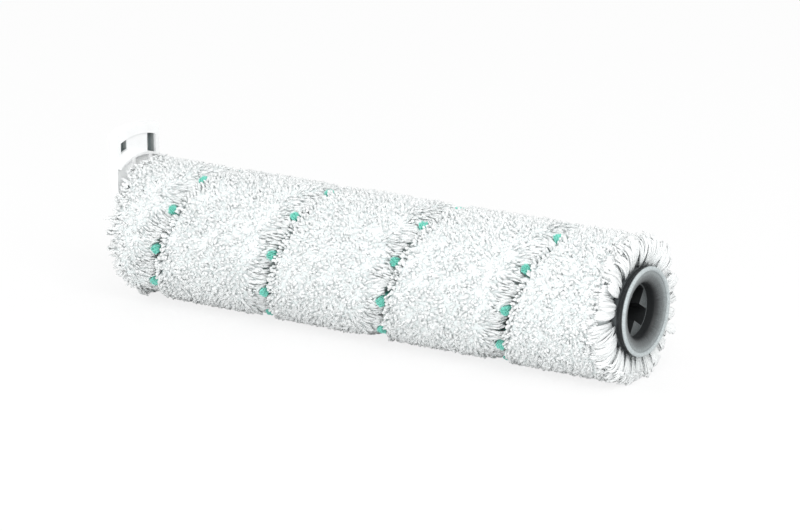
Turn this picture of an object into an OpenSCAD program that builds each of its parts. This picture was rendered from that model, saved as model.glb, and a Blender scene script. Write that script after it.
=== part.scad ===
// Brush roll of a wet floor washer: a hollow core wound with one strip of deep
// microfibre pile, bristle tufts standing in the seam between its turns, a cross
// drive socket at one end and a bearing with a lift-out end cap at the other.
// The roll lies along X. The origin is on its axis, at the drive end of the core,
// +X points out of the drive socket and +Z points up to the pull tab.

/* [Core tube] */
// Outside diameter of the core
tube_od = 36; // [34:0.5:40]
// Length of the core
tube_len = 254; // [160:1:400]

/* [Pile strip] */
// Outside diameter over the pile
pile_od = 62; // [56:0.5:70]
// Advance of the seam in one turn
seam_pitch = 60.8; // [45:0.1:80]
// Opening between neighbouring turns, along the roll
seam_gap = 5.6; // [5.4:0.1:8]
// Distance from the core's drive end to the seam's first crossing of the top line
seam_from_drive = 31.2; // [0:0.1:60]
// Bare core left beyond the strip's backing at the drive end
bare_drive = 3.5; // [2:0.1:8]
// Bare core left beyond the strip's backing at the cap end
bare_cap = 2; // [1:0.1:6]
// How far the pile leans out over the backing's edge at the drive end
flare_drive = 4; // [0:0.1:5]
// How far the pile leans out over the backing's edge at the cap end
flare_cap = 5.5; // [0:0.1:6]
// Unevenness of the clumped pile
clump = 1.1; // [0:0.1:2]
// Depth of the flat that the pile takes where the roll lies on it
flat_depth = 0.8; // [0.3:0.1:2]

/* [Bristle tufts] */
// Angle along the seam from one tuft to the next
tuft_step = 37.3; // [25:0.1:60]
// Angle along the seam from its first top crossing to the first tuft after it
tuft_first = 17.2; // [0:0.1:37]
// Diameter of the holes in the core
tuft_hole_d = 4; // [3:0.1:4.2]
// Depth of the holes in the core
tuft_hole_depth = 4; // [3:0.1:4.2]
// Diameter of a tuft at its tip
tuft_tip_d = 4.5; // [3.5:0.1:4.8]
// How far the tips stay below the pile's surface
tuft_below = 1.2; // [0:0.1:4]
// Thickness of the anchor plate that a tuft is folded over
anchor_t = 0.35; // [0.2:0.05:0.6]
// Height of the anchor plate
anchor_h = 1.5; // [1:0.1:2]

/* [Drive socket] */
// How far the collar stands out of the core
collar_len = 4; // [3:0.1:8]
// Step from the core's surface to the collar's side
collar_step = 0.2; // [0:0.05:1]
// How far the rolled lip stands out of the collar's side
lip_step = 0.7; // [0.3:0.05:1.5]
// Thickness of the rolled lip
lip_t = 2; // [1.2:0.1:3]
// Diameter of the bell mouth at the front
mouth_d = 34; // [30:0.1:35]
// Wall between the socket's bore and the core
socket_wall = 1.5; // [1.2:0.1:2.5]
// Length of the round bore before the dogs
bore_len = 3; // [2:0.1:8]
// Ledge between the bore and the outer ends of the slots
dog_ledge = 0.6; // [0:0.1:2]
// Width of the slots between the four dogs
dog_gap = 7.4; // [5:0.1:10]
// Length of the dogs
dog_len = 14; // [8:0.1:30]
// Turn of the dogs about the roll, from the horizontal
dog_turn = 14; // [0:1:89]
// Thickness of the socket's floor, which carries a seal ring
floor_t = 4; // [3.6:0.1:8]
// Width of the keys that turn the core
key_w = 5; // [3:0.1:8]
// Length of the keys
key_len = 2.4; // [1:0.1:3]

/* [Bearing] */
// Outside diameter of the bearing
bearing_od = 22; // [20:0.5:22]
// Bore of the bearing
bearing_id = 8; // [7:0.5:8.5]
// Width of the bearing
bearing_w = 7; // [6:0.5:9]
// Diameter of the balls
ball_d = 3.97; // [3.5:0.01:4.2]
// Number of balls
ball_count = 7; // [6:1:8]
// Wall of the moulded housing round the bearing
housing_wall = 2; // [1.6:0.1:3]
// Distance from the core's end to the bearing
bearing_inset = 1.5; // [1.4:0.1:5]
// Thickness of the housing's flange outside the core
flange_t = 2; // [1.5:0.1:3]
// Thickness of the bearing's two shields
shield_t = 0.6; // [0.4:0.1:0.8]
// Thickness of the spring ring that keeps the bearing in
circlip_t = 1; // [0.8:0.1:1.2]
// Thickness of the thrust washer
washer_t = 0.5; // [0.3:0.1:1]
// Thickness of the clip on the axle
clip_t = 0.9; // [0.6:0.1:1.2]
// Diameter of the section of the seal rings in the core's ends
o_ring_d = 1.8; // [1.4:0.1:2]

/* [End cap] */
// Distance from the core's end to the cap's inner face
cap_stand = 7; // [7:0.1:12]
// Thickness of the cap's plate
cap_t = 3.8; // [3:0.1:6]
// Width of the pull tab
tab_w = 30.4; // [28:0.1:40]
// Height of the pull tab's top above the pile
tab_rise = 14.1; // [10:0.1:20]
// Radius of the tab's rounded corners
tab_corner = 3; // [1:0.1:5]
// Radius of the crown along the tab's top
crown_r = 95; // [60:1:200]
// Height of the thick band along the tab's top
band_h = 4.6; // [3:0.1:7]
// Width of the side posts
post_w = 2.7; // [1.5:0.1:4]
// Width of the two pockets
pocket_w = 5.1; // [3:0.1:6]
// Height of the front pocket, the shorter one
front_pocket_h = 4.6; // [2:0.1:7]
// Floor left behind the pockets
pocket_floor = 0.8; // [0.6:0.1:1.5]
// How far the middle panel is set back from the band
panel_set = 0.8; // [0.2:0.1:1]
// How far the finger lip stands out of the tab's back
lip_out = 1.5; // [0.5:0.1:4]
// Thickness of the finger lip
finger_lip_t = 1.7; // [1:0.1:3]
// Distance of the finger lip below the tab's top
finger_lip_drop = 2.6; // [1:0.1:6]
// How far the hood stands out towards the pile
hood_len = 2.2; // [1:0.1:4.8]
// Wall of the hood
hood_t = 1.1; // [0.8:0.1:2.5]
// Height of the hood's outer face above the pile
hood_over = 1.4; // [0.8:0.1:3]
// Radius of the plate's lower, round end
foot_r = 12; // [10:0.1:14]
// Height at which the plate's straight sides begin
shoulder_z = 20; // [14:0.1:24]
// Diameter of the round locating boss on the outside
boss_d = 14; // [10:0.1:18]
// Length of the locating boss
boss_len = 3.5; // [2:0.1:8]
// Diameter of the inner hub that holds the axle
hub_d = 16; // [13:0.1:18]
// Length of the inner hub
hub_len = 4.5; // [3:0.1:4.9]

/* [Hidden] */
$fn = 64;

// Fits and small clearances
glue = 0.1;
press = 0.02;
seat = 0.05;
running = 0.06;
clear = 0.3;

tube_r = tube_od / 2;
pile_r = pile_od / 2;
// The core's bore is set by the bearing and its moulded housing
tube_id = bearing_od + 2 * housing_wall;
socket_bore_d = tube_id - 2 * socket_wall;

// Ends of the strip's backing and of the pile that leans over them
strip_drive_x = -bare_drive;
strip_cap_x = -tube_len + bare_cap;
pile_drive_x = strip_drive_x + flare_drive;
pile_cap_x = strip_cap_x - flare_cap;
pile_in_r = tube_r + glue;
rest_z = -(pile_r - flat_depth);

// Rows of points round one turn of the strip, points across it, and its bluntest tip
rows_per_turn = 48;
pile_cols = 14;
tip_w = 3;
edge_drop = 2;
shoulder_drop = 0.5;

// Seam position along the roll at an angle that counts on over the turns
function seam_x(a) = -seam_from_drive - seam_pitch * a / 360;
function seam_angle(x) = (-seam_from_drive - x) * 360 / seam_pitch;

strip_start_a = seam_angle(strip_drive_x - tip_w + seam_pitch - seam_gap / 2);
strip_end_a = seam_angle(strip_cap_x + tip_w + seam_gap / 2);
strip_rows = floor((strip_end_a - strip_start_a) / 360 * rows_per_turn);
strip_da = (strip_end_a - strip_start_a) / strip_rows;

// Tufts that find room between the strip's two ends
tuft_margin = tuft_hole_d;
tuft_from = ceil((seam_angle(strip_drive_x - tuft_margin) - tuft_first) / tuft_step);
tuft_to = floor((seam_angle(strip_cap_x + tuft_margin) - tuft_first) / tuft_step);
tuft_root_r = tube_r - tuft_hole_depth;
tuft_tip_r = pile_r - tuft_below;
anchor_w = tuft_hole_d - 0.6;

// Drive socket, from its front face inwards
collar_d = tube_od + 2 * collar_step;
lip_d = collar_d + 2 * lip_step;
dog_face_x = -bore_len;
socket_floor_x = dog_face_x - dog_len;
plug_end_x = socket_floor_x - floor_t;
key_r = (tube_id / 2 + tube_r) / 2;
key_t = 2;
socket_seal_x = plug_end_x + floor_t / 2;
seal_ring_r = tube_id / 2 - o_ring_d / 2;
seal_groove_w = o_ring_d * 1.3;

// Bearing, from the core's cap end inwards
cap_end_x = -tube_len;
bearing_x = cap_end_x + bearing_inset;
bearing_mid_x = bearing_x + bearing_w / 2;
bearing_back_x = bearing_x + bearing_w;
pitch_r = (bearing_od + bearing_id) / 4;
race_land = ball_d * 0.46;
inner_land_r = pitch_r - race_land;
outer_land_r = pitch_r + race_land;
groove_r = ball_d / 2 + running;
shield_seat = 0.4;
axle_d = bearing_id - 2 * press;
washer_x = bearing_back_x;
clip_x = washer_x + washer_t;
clip_d = bearing_id * 1.6;
axle_tip = 1.2;
clip_groove_d = bearing_id * 0.8;
axle_bevel = bearing_id * 0.08;
axle_end_x = clip_x + clip_t + axle_tip;
housing_shoulder_r = outer_land_r - 0.3;
housing_wall_x = axle_end_x + 1.5;
housing_end_x = housing_wall_x + 1.5;
housing_seal_x = housing_end_x - 2.5;
flange_x = cap_end_x - flange_t;
circlip_in = 2;
circlip_bite = 1;
circlip_x = bearing_x - seat - circlip_t;
bush_d = 2 * inner_land_r - 0.4;

// End cap, from its inner face outwards
cap_in_x = cap_end_x - cap_stand;
cap_out_x = cap_in_x - cap_t;
hub_end_x = cap_in_x + hub_len;
hood_r = pile_r + hood_over;
// Head of the axle inside the plate
axle_head_x = cap_out_x + cap_t * 0.26;
axle_head_t = cap_t * 0.42;
axle_head_d = bearing_id * 1.25;
tab_top_z = pile_r + tab_rise;
band_low_r = tab_top_z - band_h;
post_in_y = tab_w / 2 - post_w;
panel_half = post_in_y - pocket_w;
finger_lip_z = tab_top_z - finger_lip_drop - finger_lip_t;

// A round bar along X from x0 to x1
module bar_x(d, x0, x1) {
    translate([x0, 0, 0])
        rotate([0, 90, 0])
            cylinder(d = d, h = x1 - x0);
}

// A ring along X
module ring_x(d_out, d_in, x0, x1) {
    difference() {
        bar_x(d_out, x0, x1);
        bar_x(d_in, x0 - 1, x1 + 1);
    }
}

// A profile of [radius, x] points turned about X
module turned_x() {
    rotate([0, 90, 0])
        rotate_extrude()
            children();
}

// A flat outline in Y and Z, given its thickness along X
module plate_x(x0, x1) {
    translate([x0, 0, 0])
        rotate([90, 0, 90])
            linear_extrude(x1 - x0)
                children();
}

// Section of the groove for a seal ring at x
module seal_groove(x) {
    translate([seal_ring_r - o_ring_d / 2, x - seal_groove_w / 2])
        square([o_ring_d + 1, seal_groove_w]);
}

// Places its children radially on the seam at tuft number i
module at_tuft(i) {
    a = tuft_first + i * tuft_step;
    translate([seam_x(a), 0, 0])
        rotate([a, 0, 0])
            children();
}

// Core: a thick tube with a blind hole for each tuft and notches for the socket's keys
module core_tube() {
    color("#45494b")
        difference() {
            ring_x(tube_od, tube_id, cap_end_x, 0);
            for (i = [tuft_from:tuft_to])
                at_tuft(i)
                    translate([0, 0, tuft_root_r])
                        cylinder(d = tuft_hole_d, h = tuft_hole_depth + 1);
            drive_keys(seat);
        }
}

// The two keys between the socket's collar and the core, grown by a clearance in the notch
module drive_keys(grow) {
    for (side = [-1, 1])
        translate([-key_len - grow, -key_w / 2 - grow, side * key_r - key_t / 2 - grow])
            cube([key_len + grow + (grow > 0 ? 1 : 0.5), key_w + 2 * grow, key_t + 2 * grow]);
}

// Edges of the strip on the backing and at the pile's surface, at angle a
function strip_hi(a, limit) = min(limit, seam_x(a) - seam_gap / 2);
function strip_lo(a, limit) = max(limit, seam_x(a) - seam_pitch + seam_gap / 2);

// Unevenness of the clumps, one value for each point of the pile's surface
noise = rands(0, 1, (strip_rows + 1) * (pile_cols + 1), 7);

// The pile is lower along its edges, where its strands lean over
function pile_drop(k) =
    (k == 0 || k == pile_cols) ? edge_drop
    : (k == 1 || k == pile_cols - 1) ? shoulder_drop
    : 0;

function pile_point(x, r, a) = [x, -r * sin(a), max(rest_z, r * cos(a))];

// One ring of points across the strip, in the half-plane through the axis at angle a
function strip_ring(i) =
    let (a = strip_start_a + i * strip_da,
         hi = strip_hi(a, pile_drive_x),
         lo = strip_lo(a, pile_cap_x))
    concat(
        [pile_point(strip_hi(a, strip_drive_x), pile_in_r, a)],
        [for (k = [0:pile_cols])
            pile_point(hi + (lo - hi) * k / pile_cols,
                       pile_r - pile_drop(k) - clump * noise[i * (pile_cols + 1) + k], a)],
        [pile_point(strip_lo(a, strip_cap_x), pile_in_r, a)]);

// One strip of deep pile wound in a helix round the core
module pile_strip() {
    n = pile_cols + 3;
    rings = [for (i = [0:strip_rows]) each strip_ring(i)];
    sides = [for (i = [0:strip_rows - 1])
                for (k = [0:n - 1])
                    let (p = i * n + k,
                         q = i * n + (k + 1) % n)
                    each [[p, q, q + n], [p, q + n, p + n]]];
    first_end = [for (k = [1:n - 2]) [0, k + 1, k]];
    last = strip_rows * n;
    last_end = [for (k = [1:n - 2]) [last, last + k, last + k + 1]];
    color("#f4f6f6")
        polyhedron(points = rings, faces = concat(sides, first_end, last_end), convexity = 12);
}

// Tufts of bristle, each folded over its anchor at the bottom of its hole
module bristle_tufts() {
    root_r = tuft_hole_d / 2 - seat;
    tip_r = tuft_tip_d / 2;
    dome = 0.8;
    color("#7fd9c4")
        for (i = [tuft_from:tuft_to])
            at_tuft(i)
                difference() {
                    rotate_extrude($fn = 24)
                        polygon([[0, tuft_root_r + seat],
                                 [root_r, tuft_root_r + seat],
                                 [root_r, tube_r + 1],
                                 [tip_r, tuft_tip_r - dome],
                                 [tip_r - dome, tuft_tip_r],
                                 [0, tuft_tip_r]]);
                    translate([-anchor_w / 2 - seat, -anchor_t / 2 - seat, tuft_root_r])
                        cube([anchor_w + 2 * seat, anchor_t + 2 * seat, anchor_h + 2 * seat]);
                }
}

// Anchor plates driven into the holes
module tuft_anchors() {
    color("#b9bdbf")
        for (i = [tuft_from:tuft_to])
            at_tuft(i)
                translate([-anchor_w / 2, -anchor_t / 2, tuft_root_r + seat])
                    cube([anchor_w, anchor_t, anchor_h]);
}

// Section of the socket: collar with its rolled lip, bell mouth, round bore and spigot
module socket_section() {
    lip_r = lip_d / 2;
    roll = (lip_r - mouth_d / 2) / 2;
    bell = 12;
    spigot_r = tube_id / 2 - press;
    bore_r = socket_bore_d / 2;
    difference() {
        union() {
            polygon(concat(
                [for (t = [0:bell])
                    [mouth_d / 2 - (mouth_d / 2 - bore_r) * cos(90 * t / bell),
                     (collar_len - roll) * sin(90 * t / bell)]],
                [[lip_r, collar_len - roll],
                 [lip_r, collar_len - lip_t + collar_step],
                 [collar_d / 2, collar_len - lip_t - lip_step + collar_step],
                 [collar_d / 2, 0],
                 [spigot_r, 0],
                 [spigot_r, plug_end_x],
                 [0, plug_end_x],
                 [0, dog_face_x],
                 [bore_r, dog_face_x]]));
            translate([mouth_d / 2 + roll, collar_len - roll])
                circle(r = roll, $fn = 32);
        }
        seal_groove(socket_seal_x);
    }
}

// The recess between the four dogs: a cross behind the round bore
module dog_recess() {
    intersection() {
        bar_x(socket_bore_d - 2 * dog_ledge, socket_floor_x, dog_face_x + 1);
        for (arm = [0, 90])
            rotate([dog_turn + 45 + arm, 0, 0])
                translate([socket_floor_x, -socket_bore_d, -dog_gap / 2])
                    cube([dog_len + 1, 2 * socket_bore_d, dog_gap]);
    }
}

// Moulded drive socket, pressed and keyed into the core
module drive_socket() {
    color("#5c6163")
        union() {
            difference() {
                turned_x() socket_section();
                dog_recess();
            }
            drive_keys(0);
        }
}

// Rubber rings that keep water out of the core, one at each end
module tube_seal_rings() {
    color("#26292a")
        for (x = [socket_seal_x, housing_seal_x])
            translate([x, 0, 0])
                turned_x()
                    translate([seal_ring_r, 0])
                        circle(d = o_ring_d - 2 * seat, $fn = 24);
}

// Moulded housing that carries the bearing in the core's end
module bearing_housing() {
    spigot_r = tube_id / 2 - press;
    bearing_r = bearing_od / 2 + press;
    flange_r = tube_r - 0.4;
    color("#cfd3d4")
        turned_x()
            difference() {
                polygon([[bearing_r, flange_x],
                         [flange_r - 0.5, flange_x],
                         [flange_r, flange_x + 0.5],
                         [flange_r, cap_end_x],
                         [spigot_r, cap_end_x],
                         [spigot_r, housing_end_x],
                         [0, housing_end_x],
                         [0, housing_wall_x],
                         [housing_shoulder_r, housing_wall_x],
                         [housing_shoulder_r, bearing_back_x + seat],
                         [bearing_r, bearing_back_x + seat]]);
                translate([bearing_r - 1, circlip_x - seat])
                    square([1 + circlip_bite + seat, circlip_t + 2 * seat]);
                seal_groove(housing_seal_x);
            }
}

// Open spring ring in the housing's groove
module bearing_circlip() {
    out_d = bearing_od + 2 * circlip_bite;
    mouth = 5;
    color("#8d9193")
        difference() {
            ring_x(out_d, bearing_od - 2 * circlip_in, circlip_x, circlip_x + circlip_t);
            translate([circlip_x - 1, -mouth / 2, -out_d])
                cube([circlip_t + 2, mouth, out_d]);
        }
}

// A race with its ball groove, between two radii
module race(r_in, r_out, land_out) {
    difference() {
        turned_x()
            difference() {
                translate([r_in, bearing_x])
                    square([r_out - r_in, bearing_w]);
                translate([pitch_r, bearing_mid_x])
                    circle(r = groove_r, $fn = 48);
                if (land_out)
                    for (x = [bearing_x - 1, bearing_back_x - shield_t - seat])
                        translate([r_in - 1, x])
                            square([1 + shield_seat + seat, shield_t + seat + 1]);
            }
    }
}

// Outer race, pressed in the housing, with a rebate for each shield
module bearing_outer_race() {
    color("#a9adaf")
        race(outer_land_r, bearing_od / 2, true);
}

// Inner race, pressed on the axle
module bearing_inner_race() {
    color("#a9adaf")
        race(bearing_id / 2, inner_land_r, false);
}

// Steel balls between the races
module bearing_balls() {
    color("#d9dcdd")
        for (i = [0:ball_count - 1])
            rotate([360 / ball_count * i, 0, 0])
                translate([bearing_mid_x, 0, pitch_r])
                    sphere(d = ball_d, $fn = 32);
}

// Cage that keeps the balls apart, with a round pocket for each
module bearing_cage() {
    cage_w = bearing_w - 2 * shield_t - 2 * clear;
    cage_t = ball_d * 0.3;
    color("#c9b98a")
        difference() {
            ring_x(2 * pitch_r + cage_t, 2 * pitch_r - cage_t,
                   bearing_mid_x - cage_w / 2, bearing_mid_x + cage_w / 2);
            for (i = [0:ball_count - 1])
                rotate([360 / ball_count * i, 0, 0])
                    translate([bearing_mid_x, 0, pitch_r - cage_t])
                        cylinder(d = ball_d + 2 * seat, h = 2 * cage_t);
        }
}

// A thin shield held in the outer race's rebate
module shield(x0) {
    ring_x(2 * (outer_land_r + shield_seat), 2 * (inner_land_r + clear), x0, x0 + shield_t);
}

module bearing_shield_outer() {
    color("#3a3d3e")
        shield(bearing_x);
}

module bearing_shield_inner() {
    color("#3a3d3e")
        shield(bearing_back_x - shield_t);
}

// Rubber lip seal in the housing's mouth, round the spacer bush
module dust_seal() {
    seal_r = bearing_od / 2 + press - seat;
    lip_r = bush_d / 2 + clear;
    back_x = circlip_x - 2 * seat;
    color("#2b2e2f")
        turned_x()
            polygon([[lip_r, flange_x + 0.4],
                     [lip_r + 0.7, flange_x],
                     [seal_r, flange_x],
                     [seal_r, back_x],
                     [seal_r - 2, back_x],
                     [seal_r - 2, flange_x + 1],
                     [lip_r, flange_x + 0.9]]);
}

// Steel axle moulded into the cap's hub, with a groove for its clip
module stub_axle() {
    color("#b4b8ba")
        turned_x()
            polygon([[0, axle_head_x],
                     [axle_head_d / 2, axle_head_x],
                     [axle_head_d / 2, axle_head_x + axle_head_t],
                     [axle_d / 2, axle_head_x + axle_head_t],
                     [axle_d / 2, clip_x],
                     [clip_groove_d / 2, clip_x],
                     [clip_groove_d / 2, clip_x + clip_t],
                     [axle_d / 2, clip_x + clip_t],
                     [axle_d / 2, axle_end_x - axle_bevel],
                     [axle_d / 2 - axle_bevel, axle_end_x],
                     [0, axle_end_x]]);
}

// Bush between the cap's hub and the inner race
module spacer_bush() {
    color("#dfe2e3")
        ring_x(bush_d, bearing_id, hub_end_x, bearing_x);
}

// Washer between the inner race and the clip
module thrust_washer() {
    color("#c4c8ca")
        ring_x(bush_d, bearing_id, washer_x, washer_x + washer_t);
}

// E-shaped clip in the axle's groove
module axle_clip() {
    grip_d = clip_groove_d + 2 * press;
    mouth = grip_d * 0.8;
    color("#8d9193")
        difference() {
            bar_x(clip_d, clip_x, clip_x + clip_t);
            bar_x(grip_d, clip_x - 1, clip_x + clip_t + 1);
            translate([clip_x - 1, -mouth / 2, 0])
                cube([clip_t + 2, mouth, clip_d]);
            for (side = [-1, 1])
                translate([0, side * clip_d * 0.26, -clip_d * 0.16])
                    bar_x(clip_d * 0.18, clip_x - 1, clip_x + clip_t + 1);
        }
}

// Outline of the pull tab with its crowned top and round corners
module tab_outline() {
    half = tab_w / 2;
    corner_z = tab_top_z - crown_r + sqrt(pow(crown_r - tab_corner, 2) - pow(half - tab_corner, 2));
    intersection() {
        union() {
            translate([-half, shoulder_z])
                square([tab_w, corner_z - shoulder_z]);
            translate([-half + tab_corner, shoulder_z])
                square([tab_w - 2 * tab_corner, tab_top_z - shoulder_z]);
            for (side = [-1, 1])
                translate([side * (half - tab_corner), corner_z])
                    circle(r = tab_corner, $fn = 32);
        }
        translate([0, tab_top_z - crown_r])
            circle(r = crown_r, $fn = 256);
    }
}

// Outline of the whole plate: round foot, tapering sides and the tab
module cap_outline() {
    half = tab_w / 2;
    lean = asin((half - foot_r) / sqrt(pow(half, 2) + pow(shoulder_z, 2)));
    circle(r = foot_r);
    polygon([[-foot_r * cos(lean), 0],
             [foot_r * cos(lean), 0],
             [half, shoulder_z],
             [-half, shoulder_z]]);
    tab_outline();
}

// The part of the tab under the band, down to radius low_r and from y0 to y1
module tab_field(y0, y1, low_r) {
    intersection() {
        difference() {
            circle(r = band_low_r, $fn = 128);
            circle(r = low_r, $fn = 128);
        }
        translate([y0, 0])
            square([y1 - y0, tab_top_z]);
    }
}

// Moulded end cap: plate, pull tab, finger lip, hood over the pile's end, hub and boss
module end_cap() {
    half = tab_w / 2;
    rib_t = 2;
    rib_out = 2.2;
    color("#eef0f0")
        difference() {
            union() {
                plate_x(cap_out_x, cap_in_x)
                    cap_outline();
                plate_x(cap_out_x - lip_out, cap_out_x)
                    intersection() {
                        tab_outline();
                        translate([-half, finger_lip_z])
                            square([tab_w, finger_lip_t]);
                    }
                plate_x(cap_in_x, cap_in_x + hood_len)
                    intersection() {
                        difference() {
                            circle(r = hood_r, $fn = 128);
                            circle(r = hood_r - hood_t, $fn = 128);
                        }
                        translate([-half, 0])
                            square([tab_w, hood_r]);
                    }
                for (side = [-1, 1])
                    plate_x(cap_in_x, cap_in_x + rib_out)
                        translate([side * (foot_r * 0.5) - rib_t / 2, 0])
                            square([rib_t, hood_r - hood_t]);
                bar_x(hub_d, cap_in_x, hub_end_x);
                bar_x(boss_d, cap_out_x - boss_len, cap_out_x);
            }
            plate_x(cap_out_x + pocket_floor, cap_in_x + 1) {
                tab_field(panel_half, post_in_y, hood_r);
                tab_field(-post_in_y, -panel_half, band_low_r - front_pocket_h);
            }
            plate_x(cap_in_x - panel_set, cap_in_x + 1)
                tab_field(-panel_half - 0.01, panel_half + 0.01, hood_r);
            bar_x(bearing_id, axle_head_x, hub_end_x + 1);
            bar_x(axle_head_d + 2 * press, axle_head_x, axle_head_x + axle_head_t);
        }
}

core_tube();
pile_strip();
bristle_tufts();
tuft_anchors();
drive_socket();
tube_seal_rings();
bearing_housing();
bearing_circlip();
bearing_outer_race();
bearing_inner_race();
bearing_balls();
bearing_cage();
bearing_shield_outer();
bearing_shield_inner();
dust_seal();
stub_axle();
spacer_bush();
thrust_washer();
axle_clip();
end_cap();
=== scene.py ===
"""A brush roll with deep microfibre pile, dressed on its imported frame.

The pile is one strip wound in a helix round the core. Its clumps, the strands combed into
the seam, the petals that fan out at the ends and the bristle tufts are all strands: short
tubes carried along a spine, worked out for the whole roll at once. Sizes are in metres. X runs
along the roll, and angles round it are counted from the top, over the front, to the bottom.
"""

import math

import bpy
import numpy as np
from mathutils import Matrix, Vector


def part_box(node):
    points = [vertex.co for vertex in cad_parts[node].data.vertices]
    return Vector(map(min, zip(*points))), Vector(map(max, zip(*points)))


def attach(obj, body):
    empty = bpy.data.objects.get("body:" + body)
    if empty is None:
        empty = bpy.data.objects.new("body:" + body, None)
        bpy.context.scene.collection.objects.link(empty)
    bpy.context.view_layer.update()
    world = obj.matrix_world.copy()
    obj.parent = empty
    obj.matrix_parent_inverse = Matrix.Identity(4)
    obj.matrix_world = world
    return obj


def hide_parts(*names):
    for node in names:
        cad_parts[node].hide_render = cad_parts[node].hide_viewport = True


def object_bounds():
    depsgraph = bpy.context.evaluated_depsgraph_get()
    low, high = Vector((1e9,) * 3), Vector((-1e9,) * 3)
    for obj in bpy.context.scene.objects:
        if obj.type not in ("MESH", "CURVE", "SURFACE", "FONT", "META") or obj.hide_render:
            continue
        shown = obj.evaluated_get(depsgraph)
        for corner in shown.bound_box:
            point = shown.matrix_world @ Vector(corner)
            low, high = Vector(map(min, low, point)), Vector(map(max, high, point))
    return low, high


bl_info = {
    "name": "Brush roll pile and finishes",
    "version": (1, 0, 0),
    "blender": (4, 5, 0),
    "location": "3D View > Sidebar > Brush roll",
    "description": "Grows the pile and bristles of a brush roll and finishes its moulded "
                   "and steel pieces",
    "category": "Add Mesh",
}

MM = 0.001
TURN = 2 * math.pi
SEED = 11

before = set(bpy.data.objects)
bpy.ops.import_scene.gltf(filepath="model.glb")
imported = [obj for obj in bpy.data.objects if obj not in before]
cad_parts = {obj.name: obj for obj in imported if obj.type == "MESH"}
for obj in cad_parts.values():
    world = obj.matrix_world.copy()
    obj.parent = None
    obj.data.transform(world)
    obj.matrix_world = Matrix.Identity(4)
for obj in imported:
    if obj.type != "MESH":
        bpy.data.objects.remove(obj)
cad_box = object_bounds()
core_low, core_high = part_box("core_tube")
strip_low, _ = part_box("pile_strip")
cap_face = core_low.x - 7 * MM
tuft_room = 3.1 * MM


# Settings


class RollSizes(bpy.types.PropertyGroup):
    """Where the strip, its seam and its tufts lie on the core"""

    pile_radius: bpy.props.FloatProperty(
        name="Pile radius", description="Outside radius over the pile",
        default=31.6 * MM, min=20 * MM, max=50 * MM, unit="LENGTH")
    core_radius: bpy.props.FloatProperty(
        name="Core radius", description="Outside radius of the core under the strip",
        default=core_high.z, min=10 * MM, max=40 * MM, unit="LENGTH")
    rest_height: bpy.props.FloatProperty(
        name="Rest height", description="Height of the flat on which the pile lies, below the axis",
        default=strip_low.z, min=-50 * MM, max=0, unit="LENGTH")
    drive_edge: bpy.props.FloatProperty(
        name="Drive edge", description="End of the strip's backing at the drive end",
        default=core_high.x - 3.5 * MM, unit="LENGTH")
    cap_edge: bpy.props.FloatProperty(
        name="Cap edge", description="End of the strip's backing at the cap end",
        default=core_low.x + 2 * MM, unit="LENGTH")
    seam_start: bpy.props.FloatProperty(
        name="Seam start", description="Distance from the core's drive end to the seam along the top line",
        default=31.2 * MM, unit="LENGTH")
    seam_pitch: bpy.props.FloatProperty(
        name="Seam pitch", description="Advance of the seam in one turn",
        default=60.8 * MM, unit="LENGTH")
    seam_gap: bpy.props.FloatProperty(
        name="Seam gap", description="Opening between neighbouring turns of the strip",
        default=5.6 * MM, unit="LENGTH")
    tuft_first: bpy.props.FloatProperty(
        name="First tuft", description="Angle along the seam from the top line to the first tuft",
        default=math.radians(17.2), subtype="ANGLE")
    tuft_step: bpy.props.FloatProperty(
        name="Tuft step", description="Angle along the seam from one tuft to the next",
        default=math.radians(37.3), subtype="ANGLE")


class PileLook(bpy.types.PropertyGroup):
    """Size, lean and colours of the pile's clumps"""

    clump_step: bpy.props.FloatProperty(
        name="Clump spacing", description="Distance from one clump to the next",
        default=1.45 * MM, min=1 * MM, max=4 * MM, unit="LENGTH")
    clump_width: bpy.props.FloatProperty(
        name="Clump width", description="Width of a clump near its tip",
        default=1.7 * MM, min=0.5 * MM, max=4 * MM, unit="LENGTH")
    clump_lean: bpy.props.FloatProperty(
        name="Clump lean", description="How far a clump's tip hangs over to one side",
        default=1.15 * MM, min=0, max=5 * MM, unit="LENGTH")
    cover: bpy.props.FloatProperty(
        name="Cover", description="How far the clumps stand out of the felted ground",
        default=2.1 * MM, min=0.5 * MM, max=6 * MM, unit="LENGTH")
    unevenness: bpy.props.FloatProperty(
        name="Unevenness", description="How much lower the lowest clumps stand than the highest",
        default=1.4 * MM, min=0, max=4 * MM, unit="LENGTH")
    shoulder: bpy.props.FloatProperty(
        name="Combed shoulder", description="Width of the pile that is combed over into the seam",
        default=14 * MM, min=2 * MM, max=25 * MM, unit="LENGTH")
    tip_color: bpy.props.FloatVectorProperty(
        name="Tip colour", description="Colour of the fibres at the pile's surface",
        default=(0.93, 0.95, 0.95, 1), size=4, min=0, max=1, subtype="COLOR")
    # Painted shade: the fibres are painted this darker colour towards their roots, deep in the pile.
    root_shade_color: bpy.props.FloatVectorProperty(
        name="Root colour", description="Colour of the fibres deep in the pile",
        default=(0.8, 0.85, 0.85, 1), size=4, min=0, max=1, subtype="COLOR")


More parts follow.
